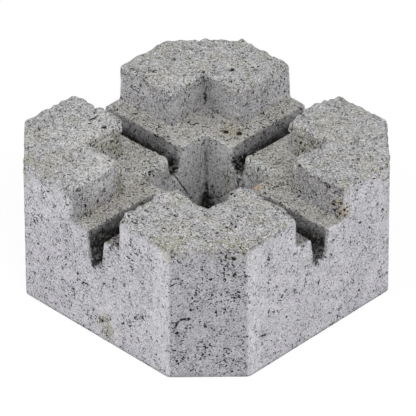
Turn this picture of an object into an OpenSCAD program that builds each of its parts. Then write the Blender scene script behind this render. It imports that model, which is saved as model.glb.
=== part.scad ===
// Concrete deck pier block, about 305 x 305 x 152 mm.
// One dry-cast piece. Its four corners are cut at 45 degrees, and its top stands up as four
// corner pillars. Between them two stepped beam slots cross: a wide recess whose shoulders carry
// the beam, and a narrow drain groove down its middle. Where the slots cross there is a square
// pocket for a large post, and below it a smaller square socket that goes down through the base.
// Frame: origin in the middle of the underside, +Z up, slots along X and Y. Millimetres.

/* [Block] */

// Width across the flat sides, at the underside
block_w = 305; // [275:1:360]
// Height from the underside to the pillar tops
block_h = 152; // [140:1:200]
// Leg of each 45-degree corner cut, at the underside
corner_cut = 55; // [35:1:65]
// How far each side leans in between the underside and the top
side_lean = 0.8; // [0:0.1:4]
// Radius of the worn arris around the outside of the pillar tops
top_round = 5; // [2:0.5:8]

/* [Beam slots] */

// Width of a slot at the shoulders that the beam sits on
slot_w = 63; // [50:1:72]
// How far each slot wall leans out on the way up
slot_lean = 2; // [0.5:0.5:5]
// Depth of the shoulders below the pillar tops
slot_depth = 36; // [25:1:45]
// Radius between a slot wall and its shoulder
slot_round = 4; // [2:0.5:6]

/* [Drain grooves] */

// Width of a groove at its floor
groove_w = 15; // [10:1:20]
// How far each groove wall leans out on the way up
groove_lean = 4; // [1:0.5:6]
// Depth of the groove below the shoulders
groove_depth = 30; // [15:1:40]
// Radius between a groove wall and its floor
groove_round = 4; // [1:0.5:4.5]

/* [Post pocket and socket] */

// Width of the upper pocket at the shoulders
pocket_w = 159; // [145:1:170]
// How far each pocket wall leans out on the way up
pocket_lean = 1.5; // [0.5:0.5:4]
// Leg of the 45-degree easing in the pocket's upright corners
pocket_ease = 4; // [1:0.5:10]
// Width of the through socket at the underside, its narrowest level
socket_w = 90; // [84:1:104]
// How far each socket wall leans out between the underside and the shoulders
socket_lean = 0.6; // [0.5:0.1:2]
// Leg of the 45-degree easing in the socket's upright corners
socket_ease = 3; // [1:0.5:8]

/* [Hidden] */

// Level of the shoulders that a beam or a large post rests on
seat_z = block_h - slot_depth;
// Level of the groove floors
drain_z = seat_z - groove_depth;
// Distance across two opposite cut corners, at the underside
cut_w = (block_w - corner_cut) * sqrt(2);
// Flats that make up one rounded arris or corner
arc_steps = 6;
// Cutters run this far past the faces that they break through
over = 10;
// Long enough to cut across the block in any direction
reach = 2 * block_w;
concrete = [0.66, 0.67, 0.66];

block();

// The whole casting.
module block() {
    color(concrete)
        difference() {
            blank();
            pocket();
            socket();
            for (turn = [0, 90])
                rotate([0, 0, turn])
                    beam_slot();
        }
}

// The block before anything is recessed: four leaning slabs, one for each pair of opposite
// sides and one for each pair of cut corners, and what they have in common.
module blank() {
    intersection() {
        slab(block_w, 0);
        slab(block_w, 90);
        slab(cut_w, 45);
        slab(cut_w, 135);
    }
}

// One slab with its two long faces a width apart at the underside, turned about Z.
module slab(width, turn) {
    rotate([0, 0, turn])
        along_y(reach)
            side_section(width);
}

// The steps that one slot cuts from side to side along Y.
module beam_slot() {
    translate([0, 0, seat_z])
        along_y(reach)
            recess_section(slot_w, slot_lean, slot_depth, slot_round);
    translate([0, 0, drain_z])
        along_y(reach)
            recess_section(groove_w, groove_lean, groove_depth, groove_round);
}

// The large square pocket above the shoulders.
module pocket() {
    translate([0, 0, seat_z])
        well(pocket_w, pocket_lean, slot_depth, pocket_ease, over);
}

// The smaller square socket, from the underside up into the pocket. It starts below the
// underside, a little narrower, so that it has its named width where it leaves the block.
module socket() {
    slope = socket_lean / seat_z;
    cut = seat_z + over;
    translate([0, 0, -over])
        well(socket_w - 2 * slope * over, slope * cut, cut, socket_ease, over / 2);
}

// A flat section stood upright and extruded along Y, centred on the origin.
module along_y(length) {
    translate([0, length / 2, 0])
        rotate([90, 0, 0])
            linear_extrude(length)
                children();
}

// Points along an arc around [x, y], from one angle to another.
function arc(x, y, r, from, to) =
    [for (i = [0:arc_steps]) let (a = from + (to - from) * i / arc_steps)
        [x + r * cos(a), y + r * sin(a)]];

// The left half of an outline as the mirror image of its right half, in the order that closes it.
function mirrored(right) = [for (i = [len(right) - 1:-1:0]) [-right[i][0], right[i][1]]];

// Outline of two opposite sides: they lean in, and an arc turns each one into the top.
module side_section(width) {
    tilt = atan(side_lean / block_h);
    arc_y = block_h - top_round;
    arc_x = width / 2 - arc_y * tan(tilt) - top_round / cos(tilt);
    right = concat([[width / 2, 0]], arc(arc_x, arc_y, top_round, tilt, 90));
    polygon(concat(right, mirrored(right)));
}

// Section of a recess: a floor at zero, an arc into each wall, and walls that lean out upwards
// and run on past the depth.
module recess_section(floor_w, lean, depth, corner_r) {
    tilt = atan(lean / depth);
    arc_x = floor_w / 2 + corner_r * tan(tilt) - corner_r / cos(tilt);
    mouth_x = floor_w / 2 + (depth + over) * tan(tilt);
    right = concat(arc(arc_x, corner_r, corner_r, -90, -tilt), [[mouth_x, depth + over]]);
    polygon(concat(right, mirrored(right)));
}

// A square well with leaning walls, its four upright corners eased at 45 degrees. It is what four
// slabs have in common, two between the walls and two between the eased corners.
module well(floor_w, lean, depth, ease, extra) {
    ease_w = (floor_w - ease) * sqrt(2);
    intersection() {
        well_slab(floor_w, lean, depth, extra, 0);
        well_slab(floor_w, lean, depth, extra, 90);
        well_slab(ease_w, lean * sqrt(2), depth, extra, 45);
        well_slab(ease_w, lean * sqrt(2), depth, extra, 135);
    }
}

// One slab of a well: its two faces are a width apart at the floor and lean out upwards.
module well_slab(floor_w, lean, depth, extra, turn) {
    rise = depth + extra;
    half = floor_w / 2;
    top = half + lean * rise / depth;
    rotate([0, 0, turn])
        along_y(reach)
            polygon([[-half, 0], [half, 0], [top, rise], [-top, rise]]);
}
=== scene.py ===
# %% [markdown]
# # A cast concrete deck pier block
# The object is one lump of dry-cast concrete, about 305 x 305 x 152 mm. Two stepped beam slots
# cross its top and leave four corner pillars, and a square post socket goes down the middle.
# The imported model gives its exact size and place, so it is loaded first, and all that follows is
# made around it in the same frame.

# %% Load the imported model
import bpy
import numpy as np
from mathutils import Matrix, Vector


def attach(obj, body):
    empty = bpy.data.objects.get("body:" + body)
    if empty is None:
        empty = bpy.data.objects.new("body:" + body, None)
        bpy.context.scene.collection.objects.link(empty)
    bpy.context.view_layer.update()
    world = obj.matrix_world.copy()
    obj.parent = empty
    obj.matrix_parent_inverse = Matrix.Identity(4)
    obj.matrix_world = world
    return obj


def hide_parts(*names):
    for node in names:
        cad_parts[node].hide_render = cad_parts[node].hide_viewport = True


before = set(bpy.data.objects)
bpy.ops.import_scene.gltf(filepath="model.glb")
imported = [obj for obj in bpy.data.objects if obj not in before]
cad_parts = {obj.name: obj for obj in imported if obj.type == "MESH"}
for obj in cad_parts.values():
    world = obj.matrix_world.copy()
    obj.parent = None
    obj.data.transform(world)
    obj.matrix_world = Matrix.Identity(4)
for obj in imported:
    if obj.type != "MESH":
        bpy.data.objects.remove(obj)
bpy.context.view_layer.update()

MM = 0.001

# %% [markdown]
# ## The sizes of the mould
# Everything below is measured from the middle of the underside. A wall that leans is written as
# its half width at the foot and the distance that it gains on the way up, because those are the
# two numbers that a mould maker cuts to.

# %% Name the sizes of the casting
HEIGHT = 152 * MM
SEAT = 116 * MM      # shoulders that carry a beam or a large post
DRAIN = 86 * MM      # floors of the drain grooves
HALF = 152.5 * MM    # half width at the underside
CUT = 250 * MM       # |x| + |y| on a cut corner, at the underside
SIDE_LEAN = 0.8 * MM
TOP_ROOM = 3.8 * MM  # how far grains may stand above the nominal top


def side_half(z):
    """Half width of the block: the sides lean in evenly from the underside to the top."""
    return HALF - SIDE_LEAN * z / HEIGHT


def cut_sum(z):
    """|x| + |y| on a cut corner, which leans in as much as the sides do."""
    return CUT - SIDE_LEAN * np.sqrt(2) * z / HEIGHT


def groove_half(z):
    """Half width of a drain groove: 7.5 mm at its floor, 4 mm more at the shoulders."""
    return 7.5 * MM + 4 * MM * np.clip((z - DRAIN) / (SEAT - DRAIN), 0, 1)


def slot_half(z):
    """Half width of a beam slot: 31.5 mm at the shoulders, 2 mm more at the top."""
    return 31.5 * MM + 2 * MM * np.clip((z - SEAT) / (HEIGHT - SEAT), 0, 1.2)


def socket_half(z):
    """Half width of the lower post socket: 45 mm at the underside, 0.6 mm more at its mouth."""
    return 45 * MM + 0.6 * MM * np.clip(z / SEAT, 0, 1)


def pocket_half(z):
    """Half width of the upper pocket: 79.5 mm at the shoulders, 1.5 mm more at the top."""
    return 79.5 * MM + 1.5 * MM * np.clip((z - SEAT) / (HEIGHT - SEAT), 0, 1.2)


print("slot at the shoulders, mm:", 2 * slot_half(SEAT) / MM)
print("socket at the underside, mm:", 2 * socket_half(0.0) / MM)

# %% [markdown]
# ## A lattice that follows every wall
# The block could be cut out of a cube with booleans, but their triangles are long and thin, and
# the worn surface needs even ones. So each face is a grid of two parameters instead. To make
# neighbouring grids share their edge points, all of them are cut from one lattice of points,
# whose lines are bent so that one runs along the foot and the top of every wall.

# %% Lay out the lattice
BAND_CELLS = [4, 11, 6, 16, 9, 28]    # cells in each band between two walls, from the middle out
LEVEL_CELLS = [22, 12, 20]            # cells up to the drain floors, the shoulders and the top


def spread(counts):
    """Evenly spaced stops: band number plus the share of the band that has been passed."""
    steps = [np.arange(n) / n + i for i, n in enumerate(counts)]
    return np.append(np.concatenate(steps), len(counts))


def between(knots, stops):
    """Points that divide each gap between two knots in the given shares."""
    low = np.minimum(stops.astype(int), len(knots) - 2)
    share = (stops - low).reshape(-1, *[1] * (knots.ndim - 1))
    return knots[low] * (1 - share) + knots[low + 1] * share


levels = between(np.array([0, DRAIN, SEAT, HEIGHT]), spread(LEVEL_CELLS))
walls = np.stack([0 * levels, groove_half(levels), slot_half(levels), socket_half(levels),
                  pocket_half(levels), cut_sum(levels) - side_half(levels), side_half(levels)])
lines = between(walls, spread(BAND_CELLS))
lines = np.concatenate([-lines[:0:-1], lines])
x = np.repeat(lines[:, None, :], len(lines), axis=1)
y = np.repeat(lines[None, :, :], len(lines), axis=0)
z = np.broadcast_to(levels, x.shape)
print("lattice:", x.shape, "points")

# %% [markdown]
# The lattice is square, but the block has cut corners. In each corner the square beyond the two
# ends of the cut is squeezed into a triangle: a point at shares u and v goes to u(1 - v/2) and
# v(1 - u/2), which lays the outer edge of the square along the cut.

# %% Squeeze the corners
start = cut_sum(z) - side_half(z)
span = side_half(z) - start
u = np.clip((np.abs(x) - start) / span, 0, 1)
v = np.clip((np.abs(y) - start) / span, 0, 1)
in_corner = (u > 0) & (v > 0)
x = np.where(in_corner, np.sign(x) * (start + span * u * (1 - v / 2)), x)
y = np.where(in_corner, np.sign(y) * (start + span * v * (1 - u / 2)), y)
print("points moved:", int(in_corner.sum()))

# %% [markdown]
# A true or false value for each cell of the lattice says where there is concrete. The recesses
# are then plain rules about bands and levels.

# %% Say which cells are concrete
band = np.repeat(np.arange(len(BAND_CELLS)), BAND_CELLS)
band = np.concatenate([band[::-1], band])
level = np.repeat(np.arange(len(LEVEL_CELLS)), LEVEL_CELLS)
band_x, band_y, floor_level = np.meshgrid(band, band, level, indexing="ij")
nearer, farther = np.minimum(band_x, band_y), np.maximum(band_x, band_y)
empty = farther <= 2                                # the socket
empty |= (nearer == 0) & (floor_level >= 1)         # the drain grooves
empty |= (nearer <= 1) & (floor_level == 2)         # the beam slots
empty |= (farther <= 3) & (floor_level == 2)        # the pocket
print("cells of concrete:", int((~empty).sum()), "of", empty.size)

# %% [markdown]
# The skin is every cell face that has concrete on one side only. Counting them this way closes
# the mesh by itself, with no seam between the faces of the block.

# %% Take the skin


def skin(cells):
    """The four corner points of each face that has concrete on one side only, in the order that
    turns the face outwards. Along each axis, the change from cell to cell is -1 where concrete
    ends, so the face looks up the axis, and +1 where it starts, so the face looks down."""
    number = np.arange(np.prod(np.array(cells.shape) + 1)).reshape(np.array(cells.shape) + 1)
    faces = []
    for axis in range(3):
        change = np.diff(np.pad(cells, 1).astype(np.int8), axis=axis)
        inner = [slice(1, -1)] * 3
        inner[axis] = slice(None)
        change = change[tuple(inner)]
        first, second = (axis + 1) % 3, (axis + 2) % 3
        corners = []
        for step_first, step_second in ((0, 0), (1, 0), (1, 1), (0, 1)):
            part = [slice(None)] * 3
            part[first] = slice(1, None) if step_first else slice(0, -1)
            part[second] = slice(1, None) if step_second else slice(0, -1)
            corners.append(number[tuple(part)])
        corners = np.stack(corners, axis=-1)
        faces += [corners[change == -1], corners[change == 1][:, ::-1]]
    return np.concatenate(faces)


quads = skin(~empty)
used, quads = np.unique(quads, return_inverse=True)
quads = quads.reshape(-1, 4)
points = np.stack([x.ravel()[used], y.ravel()[used], z.ravel()[used]], axis=-1)
print("skin:", len(points), "points,", len(quads), "faces,", 2 * len(quads), "triangles")

# %% [markdown]
# ## Worn edges from a distance field
# A real casting has no sharp edge: sand grains drop off every arris, and the mould's own corners
# are rounded. A bevel gives each edge the same width, and wear doesn't. So the block is also
# written as a field, a number for each point in space that is negative inside the concrete and
# grows evenly outwards. Where two walls meet, a soft maximum rounds the edge, as wide as wanted.

# %% Soft corners


def soft_max(a, b, width):
    """The larger of two numbers, plus a bump of a quarter width where they are equal, which
    fades to nothing where they differ by the width."""
    near = np.maximum(width - np.abs(a - b), 0) / width
    return np.maximum(a, b) + near * near * width / 4


def soft_min(a, b, width):
    """The smaller of two numbers, rounded in the same way."""
    return -soft_max(-a, -b, width)


def smooth(low, high, value):
    """Nothing at low, one at high, and an S curve between them. It falls if low is the larger."""
    t = np.clip((value - low) / (high - low), 0, 1)
    return t * t * (3 - 2 * t)


print("soft maximum of two equal walls, 4 mm wide:", float(soft_max(0.0, 0.0, 4.0)), "mm higher")

# %% [markdown]
# The four pillars of this casting are not alike. The mould was filled and struck off by hand, so
# the tops stand at different heights, and one outer corner has broken off. The pillars are named
# here by the quarter of the plan that they stand in, with the camera in front.

# %% Tell the pillars apart


def at_front(px, py):
    """The pillar nearest to the camera."""
    return (px > 0) & (py < 0)


def at_back(px, py):
    """The pillar farthest from the camera."""
    return (px < 0) & (py > 0)


def at_sides(px, py):
    """The left and right pillars, whose x and y have the same sign."""
    return px * py > 0


def crown(px, py):
    """How far the top stands above its nominal height: 0.8 mm, more on the back pillar, less
    towards the cut corners, where the mix was poorly packed. One corner of the right pillar has
    broken off, and the outer corner of the left one stands proud."""
    back, front = at_back(px, py), at_front(px, py)
    outward = smooth(170 * MM, 248 * MM, np.abs(px) + np.abs(py))
    broken = smooth(45 * MM, 5 * MM, np.hypot(px - 34 * MM, py - 152 * MM))
    proud = smooth(58 * MM, 8 * MM, np.hypot(px + 152 * MM, py + 97 * MM))
    return (0.8 + 2.0 * back - 0.4 * front - (3.2 - 3.0 * back) * outward
            - 4.0 * broken + 2.8 * proud) * MM


print("top over the middle of the back pillar, mm:", float(crown(-0.11, 0.11) / MM))

# %% [markdown]
# Each recess is a field of its own, negative in its hollow. Concrete that should not be there is
# part of the shape too: silt has settled in the groove floors near the socket, and lumps of mix
# stayed stuck in the grooves and on two socket walls by the left and right pillars.

# %% Write the casting as a field


def uncut_block(px, py, pz, k):
    """The block before anything is recessed: inside its sides, above its base, under its top."""
    ax, ay = np.abs(px), np.abs(py)
    sides = soft_max(ax - side_half(pz), ay - side_half(pz), 1.0 * k)
    sides = soft_max(sides, (ax + ay - cut_sum(pz)) / np.sqrt(2), 2.0 * k)
    return soft_max(soft_max(sides, pz - HEIGHT - crown(px, py), 4 * k), -pz, 1.5 * k)


def beam_seats(px, py, pz, k):
    """The beam slots and the pocket, down to the shoulders. The pocket's corner in the front
    pillar is filled out, which is a very wide rounding."""
    ax, ay = np.abs(px), np.abs(py)
    filled = np.where(at_front(px, py), 14, 3) * MM
    pocket = soft_max(ax - pocket_half(pz), ay - pocket_half(pz), filled)
    slots = soft_min(ax, ay, 2.5 * k) - slot_half(pz)
    chipped = np.where(at_back(px, py), 4, 9) * k
    return soft_max(soft_min(slots, pocket, chipped), SEAT - pz, 3 * MM)


def drain_grooves(px, py, pz, k):
    """The grooves, narrower by the mix that is stuck in them and shallower by the silt."""
    ax, ay = np.abs(px), np.abs(py)
    farther = np.maximum(ax, ay)
    silt = 4 * MM * smooth(85 * MM, 50 * MM, farther)
    stuck = 4.5 * MM * at_sides(px, py) * smooth(72 * MM, 50 * MM, farther)
    return soft_max(soft_min(ax, ay, 2.5 * k) - groove_half(pz) + stuck, DRAIN + silt - pz, 5 * MM)


def post_socket(px, py, pz):
    """The square hole through the block, with a plug of mix on the wall by the left pillar, which
    ends on a slanting line, and a thinner one by the right pillar."""
    slant = py + 2 * MM - 0.575 * np.maximum(96 * MM - pz, 0)
    left_plug = 4.0 * MM * (px < 0) * smooth(2 * MM, -2 * MM, slant)
    right_plug = 3.2 * MM * (py > 0) * smooth(-2 * MM, 2 * MM, px - 1 * MM)
    half = socket_half(pz)
    return soft_max(np.abs(px) - half + left_plug, np.abs(py) - half + right_plug, 3 * MM)


def casting(p, wear=1.0):
    """Distance from the worn surface, negative inside: what is in the block and outside every
    recess. The pocket's upper corners are ragged on the left and right pillars. wear scales the
    widths of the edges."""
    px, py, pz = p[:, 0], p[:, 1], p[:, 2]
    k = wear * MM
    cuts = soft_min(beam_seats(px, py, pz, k), drain_grooves(px, py, pz, k), 1.5 * k)
    cuts = soft_min(cuts, post_socket(px, py, pz), np.where(at_back(px, py), 2, 10) * k)
    farther = np.maximum(np.abs(px), np.abs(py))
    ragged = at_sides(px, py) * smooth(98 * MM, 82 * MM, farther) * smooth(125 * MM, 140 * MM, pz)
    return soft_max(uncut_block(px, py, pz, k), -cuts, (2.5 + 6 * ragged) * k)


print("wear before settling, mm: up to", float(np.abs(casting(points)).max() / MM))

# %% [markdown]
# Each point of the skin is now moved down the field's slope until the field is zero there. That
# rounds all edges and corners at once and leaves the flat faces alone.

# %% Settle the skin onto the field


def slope(p, field):
    """The direction in which a field grows, from its change over a tenth of a millimetre."""
    step = 0.1 * MM
    axes = np.eye(3) * step
    grads = [(field(p + axis) - field(p - axis)) / (2 * step) for axis in axes]
    return np.stack(grads, axis=-1)


for turn in range(4):
    grad = slope(points, casting)
    steep = np.maximum((grad ** 2).sum(1), 0.2)
    points = points - grad * (casting(points) / steep)[:, None]
print("left over after settling, mm:", float(np.abs(casting(points)).max() / MM))

# %% [markdown]
# ## Grain, pits and lumps
# The top was struck off while the mix was stiff, so it is torn and granular. The sides slid along
# steel plates and are nearly smooth. The recess walls lie between the two. A Displace modifier
# can't tell these apart, so the relief is a sum of noise at a few sizes, worked out for all points
# at once, and its strength depends on the place. Hashing whole numbers gives the same noise in
# every run.

# %% Noise in space


def hashed(ix, iy, iz, seed):
    """A number from 0 to 1 for each whole-number place, scrambled by multiplying and folding."""
    n = (ix * 73856093) ^ (iy * 19349663) ^ (iz * 83492791) ^ (seed * 40503 + 977)
    n = ((n & 0xFFFFFFFF) ^ ((n >> 13) & 0x7FFFF)) * 1274126177 & 0xFFFFFFFF
    n = (n ^ (n >> 16)) * 2246822519 & 0xFFFFFFFF
    return ((n ^ (n >> 13)) & 0xFFFFFF) / 0xFFFFFF


def cell_and_share(p, size):
    """The whole-number cube of space that a point lies in, and its place from that corner."""
    q = p / size + 1000
    cell = np.floor(q).astype(np.int64)
    return cell, q - cell


def noise(p, size, seed):
    """Smooth noise from -1 to 1: hashed values at the corners of cubes of the given size, blended
    by S curves of the place inside the cube."""
    cell, f = cell_and_share(p, size)
    f = f * f * (3 - 2 * f)
    total = 0
    for corner in np.ndindex(2, 2, 2):
        weight = np.prod(np.where(corner, f, 1 - f), axis=1)
        total = total + weight * hashed(*(cell + corner).T, seed)
    return 2 * total - 1


def layered(p, size, seed, layers=3):
    """Noise with finer and weaker noise added, each layer half the size and strength."""
    parts = [noise(p, size / 2 ** i, seed + i) / 2 ** i for i in range(layers)]
    return sum(parts) / (2 - 2 / 2 ** layers)


def grains(p, size, seed):
    """Rounded bumps from 0 to 1, like stones half bedded in mortar: each cube of space has one
    hashed centre, and the height falls with the distance to the nearest centre."""
    cell, share = cell_and_share(p, size)
    nearest = np.full(len(p), 9.0)
    for offset in np.ndindex(3, 3, 3):
        home = np.array(offset) - 1
        centre = np.stack([hashed(*(cell + home).T, seed + i) for i in range(3)], axis=1)
        nearest = np.minimum(nearest, ((share - home - centre) ** 2).sum(1))
    return np.clip(1 - nearest, 0, 1)


coarse = layered(points, 30 * MM, 11)
medium = layered(points, 12 * MM, 23)
fine = noise(points, 4.4 * MM, 37)
stones = grains(points, 8 * MM, 51)
lumps = grains(points, 11 * MM, 91) - 0.5
print("mean of the finest noise:", round(float(fine.mean()), 3), " of the stones:",
      round(float(stones.mean()), 3))

# %% [markdown]
# Shares from 0 to 1 say what kind of surface each point is on. They come from its place, and from
# the way it faces, which is the slope of the field. An edge is where the field changes most when
# its edges are widened.

# %% Find the kinds of surface
facing = slope(points, casting)
facing /= np.linalg.norm(facing, axis=1, keepdims=True)
px, py, pz = points.T
back, front, beside = at_back(px, py), at_front(px, py), at_sides(px, py)
near_axis = np.minimum(np.abs(px), np.abs(py))
far_axis = np.maximum(np.abs(px), np.abs(py))
outside = np.minimum(side_half(pz) - far_axis, (cut_sum(pz) - near_axis - far_axis) / np.sqrt(2))
edge = np.clip((casting(points, 3.0) - casting(points)) / (2 * MM), 0, 1)
flat = smooth(0.35, 0.8, facing[:, 2])
on_side = 1 - smooth(1.5 * MM, 4 * MM, outside)
on_top = flat * smooth(136 * MM, 144 * MM, pz)
on_base = smooth(0.5, 0.9, -facing[:, 2])
in_recess = np.clip(1 - on_side - on_top - on_base, 0, 1)
print("share on top:", round(float(on_top.mean()), 3), " in recesses:",
      round(float(in_recess.mean()), 3))

# %% [markdown]
# Edges lose grains as crumbs, most of all around the tops and at the mouths of the grooves. Along
# the inner rims of the pillars it is the other way round: there the mix was squeezed up and
# stands as lumps. The very ends of the rims, beside the outer faces, were struck clean.

# %% Add the relief
torn = 0.7 * coarse + 0.9 * medium + 0.7 * fine + 1.3 * (stones - 0.6)
cast = 0.10 * coarse + 0.08 * medium + 0.10 * fine
rubbed = 0.25 * coarse + 0.35 * medium + 0.45 * fine

upper_edge = smooth(134 * MM, 144 * MM, pz)
by_slot = smooth(60 * MM, 40 * MM, near_axis)
tip = by_slot * smooth(14 * MM, 3 * MM, outside)
inner = edge * upper_edge * by_slot * smooth(3 * MM, 14 * MM, outside)
mouth = (smooth(19 * MM, 11 * MM, near_axis) * smooth(138 * MM, 147 * MM, far_axis)
         * smooth(80 * MM, 88 * MM, pz))

crumbs = smooth(0.0, 0.6, noise(points, 6 * MM, 61))
crumbs = crumbs + 0.7 * smooth(0.1, 0.6, layered(points, 15 * MM, 71))
lost = edge * crumbs * (0.1 + 1.1 * upper_edge + 1.3 * mouth) * (1 - 0.8 * tip)
grown = (1.5 * fine + 1.8 * stones - 0.8) * (0.5 * edge * upper_edge + 1.1 * inner)
grown = grown + inner * (2.4 * front + 5.0 * lumps * np.where(back, 0.2, np.where(front, 1, 0.95)))

rise = on_top * torn + on_side * cast + in_recess * rubbed - lost + grown
rise = rise * (1 - on_base) * MM
points = points + facing * rise[:, None]
points[:, 2] = np.minimum(points[:, 2], HEIGHT + TOP_ROOM)
print("relief, mm: from", round(float(rise.min() / MM), 2), "to", round(float(rise.max() / MM), 2))

# %% [markdown]
# ## What the finish has to know
# Colour changes with the place as well. The grooves and the socket get painted shade, the slot
# walls painted shade and the socket walls painted light. The shoulders are pale and sandy, and the
# faces beside the near cut corner are sleek. A finish can't tell where a groove is, so these shares
# are worked out here and travel with the mesh as values of its points.

# %% Divide the recesses
on_cut = (on_side * smooth(0.5, 0.69, np.abs(facing[:, 0]))
          * smooth(0.5, 0.69, np.abs(facing[:, 1])))
on_shoulder = in_recess * flat * smooth(104 * MM, 112 * MM, pz)
in_socket = in_recess * smooth(49 * MM, 46 * MM, far_axis)
in_slot = in_recess * (1 - in_socket)
far_wall = (px < 5 * MM) & (py > -5 * MM)
lip = (in_recess * smooth(96 * MM, 108 * MM, pz) * smooth(56 * MM, 48 * MM, far_axis)
       * (1 - far_wall))
notch = (in_recess * smooth(114 * MM, 122 * MM, pz) * smooth(98 * MM, 82 * MM, far_axis)
         * beside)
foot = 4 * np.clip(facing[:, 2], 0, 1) * np.clip(1 - facing[:, 2], 0, 1) * in_recess
foot = foot * smooth(124 * MM, 119 * MM, pz) * smooth(112 * MM, 115 * MM, pz)
foot = foot * (far_axis > 60 * MM)
brink = smooth(143 * MM, 151 * MM, pz)
print("share in the socket:", round(float(in_socket.mean()), 3), " on shoulders:",
      round(float(on_shoulder.mean()), 3))

# %% [markdown]
# Painted shade gathers with depth. In a groove it starts thinly at the shoulder and thickens to the
# floor. It is heavier towards the outer ends and just under the shoulders of the two arms beside
# the front pillar, and thinner at the very mouth. In the socket it fills the bottom and the creases
# between the walls.

# %% Gather the painted shade and grime
depth_shade = 0.32 * smooth(SEAT, SEAT - 3 * MM, pz) + 0.68 * smooth(SEAT - 6 * MM, DRAIN + 10 * MM, pz)
depth_shade = depth_shade * (0.65 + 0.35 * smooth(55 * MM, 85 * MM, far_axis))
# painted shade of the front pillar, just under the shoulders of the two arms beside it
front_arm_shade = np.where(px > 20 * MM, 0.08, np.where(py < -20 * MM, 0.3, 0))
depth_shade = depth_shade + front_arm_shade * smooth(SEAT - 1 * MM, SEAT - 6 * MM, pz)
depth_shade = depth_shade + (0.2 * smooth(112 * MM, 138 * MM, far_axis)
               * smooth(SEAT - 2 * MM, SEAT - 14 * MM, pz))
open_mouth = smooth(104 * MM, 90 * MM, pz) * smooth(126 * MM, 142 * MM, far_axis)
groove_shade = in_slot * smooth(13.5 * MM, 11.5 * MM, near_axis) * depth_shade * (1 - 0.6 * open_mouth)

# Painted shade in the socket: deepest at the bottom of the corners, with a thin band up each crease
# between the walls.
crease = np.hypot(46 * MM - np.abs(px), 46 * MM - np.abs(py))
bottom_shade = smooth(64 * MM, 38 * MM, pz + 0.9 * crease)
crease_shade = smooth(6 * MM, 1 * MM, crease) * smooth(114 * MM, 90 * MM, pz)
socket_shade = in_socket * (bottom_shade + 0.6 * crease_shade)

near_camera = (px > 5 * MM) & (py < -5 * MM)
# darker in a band along the base of the sides
along_base = on_side * smooth(5 * MM, 1 * MM, pz)
# Painted shade: the grooves and the socket as above, the cut corner face, the shoulders beside the
# front pillar, which lie in its shadow, and the crease at the foot of the slot walls. The notches
# and a band along the base are darker as well.
shade_and_grime = np.clip(groove_shade + 0.18 * on_cut + socket_shade + 0.45 * on_shoulder * near_camera
                + 0.3 * foot + 0.12 * notch + 0.3 * along_base, 0, 1)
print("grimy:", round(float(shade_and_grime.mean()), 3))

# %% [markdown]
# The last shares say how granular and how pored the concrete is, and which recess a point is in.
# The slot share darkens the slot walls as painted shade, less on the back pillar. The socket share
# lightens the socket walls as painted light, fully on the walls that face the camera across the
# socket.

# %% Say how granular and how pored it is
granular = np.clip(on_top + 0.8 * on_shoulder + 0.42 * in_socket + 0.6 * brink + 0.9 * notch
                   + lip + 0.38 * in_slot, 0, 1)
from_cut = cut_sum(pz) - side_half(pz) - near_axis
sleek = on_side * (1 - on_cut) * near_camera * smooth(28 * MM, 5 * MM, from_cut) * (1 - brink)
pored = np.clip(0.2 * on_side - 0.9 * sleek + 0.62 * on_cut + 0.45 * in_slot
                + 0.5 * in_socket + 0.2 * on_top, -1, 1)
sandy = np.clip(on_shoulder * (1 - in_socket) + 0.7 * lip, 0, 1)
carried = {
    "torn": granular,
    "pored": pored,
    # slot walls: painted shade, less on the back pillar
    "slot": np.clip(in_slot - sandy - 0.6 * notch, 0, 1) * (1 - 0.7 * back),
    "shoulder": sandy,
    # socket walls: painted light, full on the walls that face the camera
    "socket": in_socket * np.where(far_wall, 1, 0.35),
    "sleek": sleek,
    "notch": notch,
    # painted shade in the recesses and on the cut corner, with some grime
    "shade_and_grime": shade_and_grime,
}
print("means:", {name: round(float(values.mean()), 3) for name, values in carried.items()})

# %% [markdown]
# ## The mesh
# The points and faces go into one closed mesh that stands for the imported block. It rides on the
# part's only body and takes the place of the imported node, so the two are never seen together.

# %% Build the mesh
mesh = bpy.data.meshes.new("concrete_block")
mesh.from_pydata(points.tolist(), [], quads.tolist())
mesh.polygons.foreach_set("use_smooth", np.ones(len(quads), bool))
for name, values in carried.items():
    attribute = mesh.attributes.new(name, "FLOAT", "POINT")
    attribute.data.foreach_set("value", values.astype(np.float32))
mesh.update()
mesh.validate()
block = bpy.data.objects.new("concrete_block", mesh)
bpy.context.scene.collection.objects.link(block)
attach(block, "root")
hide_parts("block")
print("mesh:", len(mesh.vertices), "points,", len(mesh.polygons), "faces")

# %% [markdown]
# ## Writing a finish as sums
# A finish is a formula over the surface. Nodes set up one by one hide that formula, so this small
# class wraps a node's output: adding and multiplying wires adds the Math nodes, and every other
# node comes from one method.

# %% A shader written as expressions


def tone(red, green, blue):
    """A colour as it looks on screen, from 0 to 255, turned into the light that it stands for."""
    c = np.array([red, green, blue]) / 255
    c = np.where(c <= 0.04045, c / 12.92, ((c + 0.055) / 1.055) ** 2.4)
    return (*c.tolist(), 1.0)


class Wire:
    """One node output. Arithmetic on wires adds Math nodes to the same finish."""

    def __init__(self, finish, socket):
        self.finish, self.socket = finish, socket

    def _math(self, operation, *values):
        return self.finish.node("ShaderNodeMath", {"operation": operation}, dict(enumerate(values)))

    def __add__(self, other): return self._math("ADD", self, other)
    def __radd__(self, other): return self._math("ADD", other, self)
    def __sub__(self, other): return self._math("SUBTRACT", self, other)
    def __rsub__(self, other): return self._math("SUBTRACT", other, self)
    def __mul__(self, other): return self._math("MULTIPLY", self, other)
    def __rmul__(self, other): return self._math("MULTIPLY", other, self)
    def __abs__(self): return self._math("ABSOLUTE", self)
    def clipped(self): return self.finish.node("ShaderNodeClamp", {}, {0: self})


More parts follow.
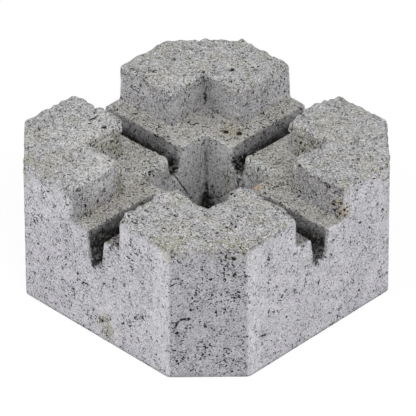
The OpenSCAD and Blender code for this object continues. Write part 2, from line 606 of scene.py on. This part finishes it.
class Finish:
    """The nodes of a new material, or of the world around the scene."""

    def __init__(self, owner):
        self.owner = owner
        owner.use_nodes = True
        self.nodes, self.links = owner.node_tree.nodes, owner.node_tree.links
        self.nodes.clear()

    def node(self, kind, settings=None, inputs=None, output=0):
        """Adds a node, makes its settings, then sets or links its sockets, and returns one of its
        outputs."""
        made = self.nodes.new(kind)
        for key, value in (settings or {}).items():
            setattr(made, key, value)
        for key, value in (inputs or {}).items():
            if isinstance(value, Wire):
                self.links.new(value.socket, made.inputs[key])
            else:
                made.inputs[key].default_value = value
        return Wire(self, made.outputs[output]) if made.outputs else None

    def blend(self, share, a, b):
        """Colour a, turning into colour b as the share goes from 0 to 1."""
        return self.node("ShaderNodeMix", {"data_type": "RGBA"}, {0: share, 6: a, 7: b}, 2)


print("mid grey is", round(tone(128, 128, 128)[0], 3), "of full light")

# %% [markdown]
# ## The concrete
# Close up, the colour is pale cement with sand grains, dark pores where air was trapped, and
# blotches from rain and algae. A picture of concrete would repeat and stretch over the recesses,
# so every pattern is worked out in space from the object's own coordinates, in metres, and each
# is one mask between 0 and 1.

# %% Read the values and mottle them
dry = Finish(bpy.data.materials.new("dry_cast_concrete"))
place = dry.node("ShaderNodeTexCoord", output="Object")
torn, pored, slot, shoulder, socket, sleek, notch, shade_and_grime = [
    dry.node("ShaderNodeAttribute", {"attribute_name": name}, output="Fac") for name in carried]


def mottle(size, detail=2.0):
    """Noise from 0 to 1 whose largest patches are about the given size in millimetres."""
    return dry.node("ShaderNodeTexNoise", {},
                    {"Vector": place, "Scale": 1000 / size, "Detail": detail})


def mask(value, low, high):
    """0 where the value is below low and 1 above high, or the other way round if low is larger."""
    return ((value - low) * (1 / (high - low))).clipped()


def together(masks):
    """The sum of some masks, cut off at 1."""
    total = masks[0]
    for one in masks[1:]:
        total = total + one
    return total.clipped()


blotch = mottle(40)
patch = mottle(11, 3)
sand = mottle(2.4, 3)
grit = mottle(1.6, 2)
dust = mottle(1.4, 1)
crumb = mottle(6, 3)
print("values read from the mesh:", len(carried))

# %% [markdown]
# Holes and stains in one place are spheres and lines in space. The space is warped first, by up
# to 2.5 mm, because a real stain has no round border.

# %% Shapes of single marks


def vector(operation, a, b=(0, 0, 0), c=(0, 0, 0), output=0):
    """One step of arithmetic on places."""
    inputs = {0: a, 1: b, 2: c} if operation == "MULTIPLY_ADD" else {0: a, 1: b}
    return dry.node("ShaderNodeVectorMath", {"operation": operation}, inputs, output)


wobble = dry.node("ShaderNodeTexNoise", {}, {"Vector": place, "Scale": 260, "Detail": 2}, "Color")
warped = vector("MULTIPLY_ADD", wobble, (5 * MM,) * 3, vector("SUBTRACT", place, (2.5 * MM,) * 3))


def spot(x, y, z, radius, soft=0.6):
    """1 near a place given in millimetres, 0 beyond the radius, with a ragged border."""
    away = vector("DISTANCE", warped, (x * MM, y * MM, z * MM), output=1)
    return mask(away, radius * MM, radius * (1 - soft) * MM)


def spots(*marks):
    """Several soft spots in one mask. Each is x, y, z and radius, and then its strength if that
    isn't 1."""
    return together([spot(*mark[:4]) * mark[4] if len(mark) > 4 else spot(*mark)
                     for mark in marks])


def dark_line(start, end, width):
    """A dark line between two places: the distance from a line is the length of the cross product
    of the line's direction and the way there from its start."""
    start, end = np.array(start) * MM, np.array(end) * MM
    along = (end - start) / np.linalg.norm(end - start)
    there = vector("SUBTRACT", warped, tuple(start))
    across = vector("LENGTH", vector("CROSS_PRODUCT", there, tuple(along)), output=1)
    reach = 500 * np.linalg.norm(end - start)
    return mask(across, width * MM, 0.3 * width * MM) * spot(*(start + end) * 500, reach, 0.15)


print("warped by up to 2.5 mm each way")

# %% [markdown]
# Air bubbles leave pores of two sizes, and between them lie specks and clots of dark sand. Both
# come in clusters. A Voronoi pattern gives each pore its own cell, and the cell's random colour
# decides whether it has one and how wide it is.

# %% Pores all over


def pores(size, share, widest):
    """Ragged dark holes: one in the given share of cells of that size, each with its own radius."""
    cells = {"Vector": warped, "Scale": 1000 / size}
    distance = dry.node("ShaderNodeTexVoronoi", {}, cells, "Distance")
    colour = dry.node("ShaderNodeTexVoronoi", {}, cells, "Color")
    chance = dry.node("ShaderNodeSeparateColor", {}, {0: colour}, 0)
    radius = (chance - (1 - share)) * (widest / share)
    return ((radius - distance) * 9).clipped()


pitted = spots((141, -108, 124, 20, 0.9), (148, -101, 106, 18, 0.9), (107, -142, 32, 14, 0.7),
               (-78, -152, 38, 16, 0.7), (-31, -152, 33, 15, 0.8), (-10, -152, 24, 15),
               (8, -152, 20, 13), (-33, -131, 126, 22), (-33, -104, 127, 20), (-122, 9, 103, 16),
               (-102, 9, 99, 14), (-81, 9, 96, 14), (-63, 9, 94, 12), (-130, 33, 124, 18),
               (63, -152, 48, 12, 0.8), (6, -152, 61, 9, 0.8))
cluster = 0.26 * mottle(15, 2) + 0.035 * pored + 0.028 * pitted
bubbles = (pores(3.6, 0.34, 0.40) + pores(6.0, 0.20, 0.30)) * (0.35 + 0.65 * pored).clipped()
specks = mask(mottle(1.6, 2) + cluster, 0.79, 0.82)
faint = mask(mottle(1.2, 1) + cluster, 0.76, 0.84) * 0.35
clots = mask(mottle(3.2, 3) + 1.4 * cluster, 0.855, 0.875)
veins = mask(abs(mottle(8, 3) - 0.5), 0.016, 0.004) * mask(mottle(5, 1), 0.56, 0.62)
print("nodes so far:", len(dry.nodes))

# %% [markdown]
# Then come the marks that make this block this one. There is crumbled concrete where the grooves
# meet the socket and at the groove mouths, round holes and a few cracks. There are also two lines
# of painted shade, one along the edge of the plug on the socket wall and one in the back inner
# corner of the pocket. Each has its place in millimetres on the block. More loose dark grains lie
# where the painted shade and grime is deep.

# %% Holes, cracks and painted shade lines in one place
crumbled = spots((-54, 7, 94, 9), (-46, 2, 95, 9), (-7, 50, 96, 11), (-10, 60, 97, 8),
                 (2, -146, 92, 14), (4, -124, 92, 16), (146, -2, 92, 14), (124, -4, 92, 16),
                 (2, 44, 80, 13, 0.8), (-38, 44, 50, 16, 0.6))
ROUND_HOLES = [  # x, y, z, radius, softness
    (-34.5, 63, 116, 3.5, 0.3), (-23, 69.5, 116, 3.5, 0.3), (-2, -152, 84, 5, 0.6),
    (111, -138, 69, 2.4, 0.4), (112.6, -136.4, 80, 2.0, 0.4), (141.6, -107.4, 139, 2.8, 0.4),
    (9, -152, 22, 2.6, 0.4), (-33, -122.5, 113, 3.0, 0.4), (-33, -117, 124, 2.4, 0.4),
    (-33, -133, 127, 2.4, 0.4), (-33, -97, 121, 2.4, 0.4), (-101.6, -58.5, 153, 2.8, 0.6),
    (-86.5, -52.3, 153, 2.9, 0.5), (-123, 45, 154, 2.9, 0.5), (-120.5, 77.6, 154, 2.8, 0.7),
    (-66, 103, 154, 2.9, 0.5), (93, 32, 151, 3.0, 0.5), (113, -100, 152, 2.6, 0.5)]
CRACKS_AND_SHADOW_LINES = [  # start, end, width
    # The first two lines are painted shade: one along the edge of the plug on the socket wall, one
    # in the back inner corner of the pocket.
    ((-43, -4, 98), (-43, 21, 56), 1.7), ((-79, 79, 150), (-79, 79, 118), 1.5),
    ((102.5, -147, 59), (106, -142.5, 71), 1.6), ((105, -144, 69), (110, -139, 70), 1.5),
    ((-106, -54, 153), (-105, -42, 153), 1.5)]
loose = [(crumbled + 0.6 * shade_and_grime * shade_and_grime).clipped() * mask(mottle(4.0, 3), 0.46, 0.51),
         spot(146, 32.5, 128, 12, 0.3) * mask(mottle(3.4, 3), 0.55, 0.59),
         spot(22, -142, 116, 15) * mask(mottle(3.4, 3), 0.52, 0.57),
         notch * mask(mottle(4, 3), 0.60, 0.64)]
holes = together([spot(*hole) for hole in ROUND_HOLES] + [dark_line(*line) for line in CRACKS_AND_SHADOW_LINES] + loose)
pits = together([bubbles, veins, specks, faint, clots, holes])
print("round holes:", len(ROUND_HOLES), " cracks:", len(CRACKS_AND_SHADOW_LINES), " nodes so far:", len(dry.nodes))

# %% [markdown]
# The stains have their own places too: tan where water stood, one rusty mark, olive where algae
# grow on the rims and in the notches, damp grey by the socket, and pale where the cement is dry.
# The same pale layer puts painted light on the socket walls.
# The streak runs up and down, as the mould plate rubbed the sleek faces when it was drawn off.

# %% Stains in one place
tan = spots((-31, 68, 116, 17), (146, 33, 128, 15), (-30, -90, 116, 16, 0.5),
            (-26, -120, 116, 16, 0.45), (-28, -70, 116, 14, 0.4))
rust = spot(50, 15, 116, 10, 0.7)
olive = together([spots((99, -144, 152, 22), (137, -109, 152, 22), (-100, -138, 152, 27),
                        (147, 88, 152, 16), (18, -152, 20, 22), (-79, -62, 132, 22),
                        (-50, -84, 116, 16), (58, 50, 116, 18), (-14, 45, 76, 20)), notch])
damp = spots((-45, -26, 110, 13), (26, 45, 110, 12))
# pale dry cement in spots, and painted light on the socket walls
pale_and_painted_light = together([spots((-36, -110, 152, 36), (-90, -70, 152, 46, 0.9), (-62, -62, 116, 36, 0.5),
                       (60, -60, 152, 20), (-80, 80, 152, 90, 0.12)), socket * 1.4])
streak = dry.node("ShaderNodeTexNoise", {}, {"Vector": vector("MULTIPLY", place, (1, 1, 0.12)),
                                            "Scale": 330, "Detail": 2})
# Painted shade in the recesses and on the cut corner, with some dirt, broken up by mottle.
shade_and_dirt = mask(shade_and_grime + 0.5 * mottle(5, 3), 0.30, 1.20)
print("nodes so far:", len(dry.nodes))

# %% [markdown]
# The colour starts as cement in two tones, and each layer then covers a share of what is under it.
# The order is that of the real thing: the cement and its sand first, then the stains, then the
# loose grains, and dirt and open holes last. Painted shade on the slot walls and painted light on
# the socket walls come before the stains. The painted shade in the recesses goes in with the dirt.

# %% Put the colours over one another
layers = [
    (mask(patch, 0.42, 0.68) * 0.5, (168, 167, 169)),                # uneven cement
    (torn * 0.35, (172, 172, 168)),
    (torn * mask(mottle(5.5, 2), 0.50, 0.60) * 0.30, (232, 231, 222)),   # pale stones
    (torn * mask(mottle(7, 3), 0.54, 0.62) * 0.40, (112, 110, 106)),     # dark stones
    (torn * mask(mottle(16), 0.47, 0.62) * 0.38, (174, 174, 144)),       # faint algae
    # painted shade on the slot walls
    (slot * 0.60, (138, 136, 139)),
    (shoulder * 0.5, (200, 197, 186)),
    # pale cement, and painted light on the socket walls
    (pale_and_painted_light * 0.55, (232, 231, 232)),
    (sleek * (0.10 + 0.42 * mask(streak, 0.4, 0.6)), (226, 225, 227)),
    (olive * mask(patch, 0.42, 0.55) * 0.45, (160, 158, 112)),
    (tan * mask(patch, 0.36, 0.5) * 0.7, (168, 154, 116)),
    (rust * 0.85, (206, 158, 112)),
    (damp * 0.5, (176, 183, 179)),
    (mask(sand, 0.46, 0.62) * (0.18 + 0.24 * torn), (84, 82, 83)),
    (mask(grit, 0.45, 0.62) * (0.24 + 0.14 * torn), (74, 72, 73)),
    (mask(dust, 0.50, 0.62) * (0.40 + 0.24 * torn), (244, 243, 242)),
    # painted shade and dirt
    (shade_and_dirt * 0.92, (46, 44, 44)),
    (shade_and_grime * mask(mottle(2.8, 2), 0.54, 0.62) * 0.62, (158, 156, 150)),  # crumbs on the painted shade and dirt
    (pits * 0.97, (18, 16, 16)),
]
colour = dry.blend(mask(blotch, 0.38, 0.62), tone(196, 194, 202), tone(206, 204, 211))
for share, shade in layers:
    colour = dry.blend(share, colour, tone(*shade))
print("layers of colour:", len(layers) + 1)

# %% [markdown]
# Grains too small for the mesh are bump: sand and crumbs stand up, pits go down. Dry concrete
# hardly shines, so it is almost fully rough.

# %% Finish the concrete
relief = (0.5 * sand + 0.3 * grit + 1.5 * crumb) * (0.3 + 1.1 * torn + 1.2 * shade_and_grime) - 0.8 * pits
bump = dry.node("ShaderNodeBump", {}, {"Strength": 0.9, "Distance": 1.4 * MM, "Height": relief})
surface = dry.node("ShaderNodeBsdfPrincipled", {}, {
    "Base Color": colour, "Roughness": 0.92, "Specular IOR Level": 0.25, "Normal": bump})
dry.node("ShaderNodeOutputMaterial", {}, {"Surface": surface})
mesh.materials.append(dry.owner)
print("concrete:", len(dry.nodes), "nodes")

# %% [markdown]
# ## Floor and light
# The block stands on a plain white floor. More light would whiten the floor but bleach the block
# too. So camera rays see the floor almost white, while the rest of its light stays that of a
# plain matt surface, and the block keeps a soft shadow.

# %% Floor
FLOOR_HALF = 12.0    # metres from the middle to each side
white = Finish(bpy.data.materials.new("white_floor"))
matt = white.node("ShaderNodeBsdfDiffuse", {}, {"Color": (0.8, 0.8, 0.8, 1)})
glow = white.node("ShaderNodeEmission", {}, {"Color": (1, 1, 1, 1), "Strength": 1.06})
to_camera = white.node("ShaderNodeLightPath", output="Is Camera Ray")
mixed = white.node("ShaderNodeMixShader", {}, {0: to_camera * 0.85, 1: matt, 2: glow})
white.node("ShaderNodeOutputMaterial", {}, {"Surface": mixed})
floor_mesh = bpy.data.meshes.new("floor")
floor_mesh.from_pydata([(sx * FLOOR_HALF, sy * FLOOR_HALF, 0)
                        for sx, sy in ((-1, -1), (1, -1), (1, 1), (-1, 1))], [], [(0, 1, 2, 3)])
floor_mesh.materials.append(white.owner)
floor = bpy.data.objects.new("floor", floor_mesh)
bpy.context.scene.collection.objects.link(floor)
print("floor:", 2 * FLOOR_HALF, "m wide")

# %% [markdown]
# The sky is plain white, at full strength for the camera and half of it for the block. Two wide
# soft boxes light the two faces that show, the left one a little stronger, and a smaller box
# above the camera fills the cut corner and the tops.

# %% Sky and lamps
sky = Finish(bpy.data.worlds.new("studio"))
seen = sky.node("ShaderNodeLightPath", output="Is Camera Ray")
white_sky = sky.node("ShaderNodeBackground", {},
                     {"Color": (1, 1, 1, 1), "Strength": seen * 0.50 + 0.50})
sky.node("ShaderNodeOutputWorld", {}, {0: white_sky})
bpy.context.scene.world = sky.owner
AIM = Vector((0, 0, 0.08))


def lamp(name, stand, power, width):
    """A square soft box that looks at the block."""
    light = bpy.data.lights.new(name, "AREA")
    light.energy, light.size = power, width
    made = bpy.data.objects.new(name, light)
    made.location = stand
    made.rotation_euler = (AIM - made.location).to_track_quat("-Z", "Y").to_euler()
    bpy.context.scene.collection.objects.link(made)


lamp("left_box", (-1.5, -1.9, 1.2), 27, 2.0)
lamp("right_box", (1.9, 1.5, 1.2), 22, 2.0)
lamp("fill_box", (1.8, -1.4, 2.2), 27, 1.2)
print("lamps:", [light.name for light in bpy.data.lights])

# %% [markdown]
# ## Camera
# The photograph has almost no perspective, so a long lens stands about five metres away, half
# way round the corner and 35 degrees up. Its three axes are written out, because the angles come
# from matching edges and are easier to correct one by one. The view settings stay plain.

# %% Camera
AROUND, UP, ROLL = 0.7783, 0.61467, -0.00452    # radians
AWAY = 5.060                                    # metres from the block
MIDDLE = Vector((0, 0, 73.3 * MM))              # what the lens points at
backwards = Vector((np.sin(AROUND) * np.cos(UP), -np.cos(AROUND) * np.cos(UP), np.sin(UP)))
sideways = Vector((np.cos(AROUND), np.sin(AROUND), 0))
upwards = backwards.cross(sideways)
axes = (sideways * np.cos(ROLL) + upwards * np.sin(ROLL),
        upwards * np.cos(ROLL) - sideways * np.sin(ROLL), backwards)

lens = bpy.data.cameras.new("camera")
lens.lens, lens.sensor_width = 449.5, 36
lens.shift_x = 0.0034
lens.clip_end = 100
camera = bpy.data.objects.new("camera", lens)
camera.matrix_world = (Matrix.Translation(MIDDLE + backwards * AWAY)
                       @ Matrix(axes).transposed().to_4x4())
bpy.context.scene.collection.objects.link(camera)
bpy.context.scene.camera = camera
bpy.context.scene.view_settings.view_transform = "Standard"
print("camera at", [round(c, 3) for c in camera.matrix_world.translation], "m")
